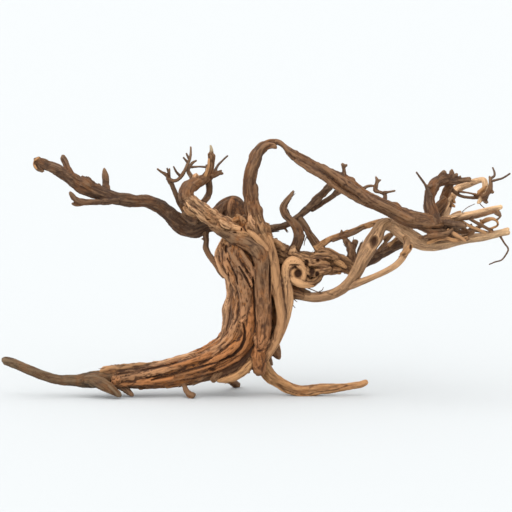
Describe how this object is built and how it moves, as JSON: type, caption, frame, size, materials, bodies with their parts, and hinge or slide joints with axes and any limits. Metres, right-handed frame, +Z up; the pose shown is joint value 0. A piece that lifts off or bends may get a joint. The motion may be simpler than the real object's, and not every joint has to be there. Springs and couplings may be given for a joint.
{
  "type": "satung driftwood root",
  "caption": "Large natural driftwood root with a fluted trunk, an arched branch and tangled side branches, standing on worn root spots as a display or layout centrepiece.",
  "frame": {"origin": "on the resting surface, under the middle of the piece's bounding box", "axes": "+X to the piece's right seen from its front, along its length; +Y away from its front; +Z up"},
  "size_m": [1.2753, 0.2818, 0.6453],
  "materials": {
    "driftwood": "dry, matt, weathered"
  },
  "bodies": {
    "root": {"satung_wood": "driftwood"}
  },
  "joints": []
}
